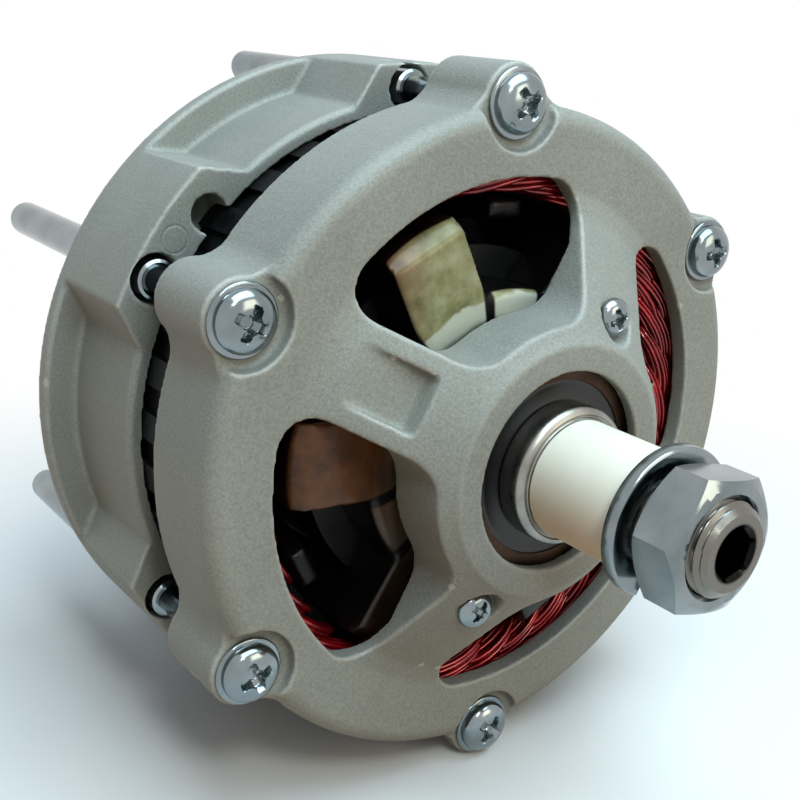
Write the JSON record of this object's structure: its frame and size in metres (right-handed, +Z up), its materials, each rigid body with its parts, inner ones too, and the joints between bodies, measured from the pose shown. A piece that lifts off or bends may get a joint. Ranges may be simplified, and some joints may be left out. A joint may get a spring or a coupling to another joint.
{
  "type": "engine alternator",
  "caption": "Claw-pole alternator with open cast end brackets, through bolts, long rear mounting studs and a bare threaded drive shaft.",
  "frame": {"origin": "centre of the mounting flange's rear face, on the shaft's axis", "axes": "+Y along the shaft towards the rear, away from the drive end; +Z up, through the brushes; +X to the right seen from the drive end"},
  "size_m": [0.135, 0.1599, 0.139],
  "materials": {
    "cast_aluminium": "bead-blasted die-cast",
    "core_steel": "black-varnished laminations",
    "red_copper": "red enamelled copper wire",
    "zinc_steel": "bright zinc plated",
    "bearing_steel": "ground and polished",
    "cage_plastic": "moulded polyamide",
    "seal_rubber": "moulded rubber",
    "shaft_steel": "turned and ground",
    "pole_steel": "varnish-dipped forged steel",
    "core_iron": "turned",
    "black_plastic": "moulded glass-filled plastic",
    "coil_copper": "enamelled copper wire",
    "ring_copper": "turned copper",
    "ivory_plastic": "moulded polyethylene",
    "plate_aluminium": "pressed plate",
    "diode_metal": "nickel-plated can",
    "epoxy": "moulded epoxy",
    "board_plastic": "moulded glass-filled plastic",
    "stud_brass": "turned brass",
    "carbon": "pressed graphite",
    "spring_steel": "drawn wire",
    "regulator_case": "die-cast case"
  },
  "bodies": {
    "housing": {"front_bracket": "cast_aluminium", "rear_bracket": "cast_aluminium", "stator_core": "core_steel", "stator_winding": "red_copper", "phase_leads": "red_copper", "through_bolts": "zinc_steel", "bolt_washers": "zinc_steel", "rear_studs": "zinc_steel", "retainer_screws": "zinc_steel", "bearing_retainer": "zinc_steel", "rectifier_screws": "zinc_steel", "regulator_screws": "zinc_steel", "front_bearing_outer_race": "bearing_steel", "rear_bearing_outer_race": "bearing_steel", "front_bearing_seals": "seal_rubber", "rear_bearing_seals": "seal_rubber", "brush_holder": "black_plastic", "plus_insulator": "black_plastic", "field_insulator": "black_plastic", "rear_bearing_sleeve": "black_plastic", "rectifier_spacers": "black_plastic", "positive_plate": "plate_aluminium", "negative_plate": "plate_aluminium", "positive_diodes": "diode_metal", "negative_diodes": "diode_metal", "exciter_diodes": "epoxy", "terminal_board": "board_plastic", "plus_stud": "stud_brass", "field_stud": "stud_brass", "plus_nut": "stud_brass", "field_nut": "stud_brass", "front_brush_spring": "spring_steel", "rear_brush_spring": "spring_steel", "regulator": "regulator_case"},
    "rotor": {"rotor_shaft": "shaft_steel", "front_pole": "pole_steel", "rear_pole": "pole_steel", "rotor_core": "core_iron", "coil_bobbin": "black_plastic", "field_coil": "coil_copper", "rotor_spacer": "shaft_steel", "front_slip_ring": "ring_copper", "rear_slip_ring": "ring_copper", "slip_ring_body": "black_plastic", "front_bearing_inner_race": "bearing_steel", "rear_bearing_inner_race": "bearing_steel", "spacer_collar": "shaft_steel", "shaft_sleeve": "ivory_plastic", "lock_washer": "zinc_steel", "shaft_nut": "zinc_steel"},
    "front_cage": {"front_bearing_balls": "bearing_steel", "front_bearing_cage": "cage_plastic"},
    "rear_cage": {"rear_bearing_balls": "bearing_steel", "rear_bearing_cage": "cage_plastic"},
    "brush_a": {"front_brush": "carbon"},
    "brush_b": {"rear_brush": "carbon"}
  },
  "joints": [
    {"name": "rotor_spin", "type": "hinge", "parent": "housing", "child": "rotor", "pos_m": [0, 0, 0], "axis": [0, 1, 0], "continuous": true},
    {"name": "front_cage_spin", "type": "hinge", "parent": "housing", "child": "front_cage", "pos_m": [0, -0.068, 0], "axis": [0, 1, 0], "continuous": true},
    {"name": "rear_cage_spin", "type": "hinge", "parent": "housing", "child": "rear_cage", "pos_m": [0, 0.0195, 0], "axis": [0, 1, 0], "continuous": true},
    {"name": "front_brush_slide", "type": "slide", "parent": "housing", "child": "brush_a", "axis": [0, 0, 1], "range_m": [0, 0.003], "stiffness_N_per_m": 300, "springref_m": -0.002, "deforming": ["front_brush_spring"]},
    {"name": "rear_brush_slide", "type": "slide", "parent": "housing", "child": "brush_b", "axis": [0, 0, 1], "range_m": [0, 0.003], "stiffness_N_per_m": 300, "springref_m": -0.002, "deforming": ["rear_brush_spring"]}
  ],
  "couplings": [
    {"joint": "front_cage_spin", "follows": "rotor_spin", "ratio": 0.3825},
    {"joint": "rear_cage_spin", "follows": "rotor_spin", "ratio": 0.382}
  ]
}
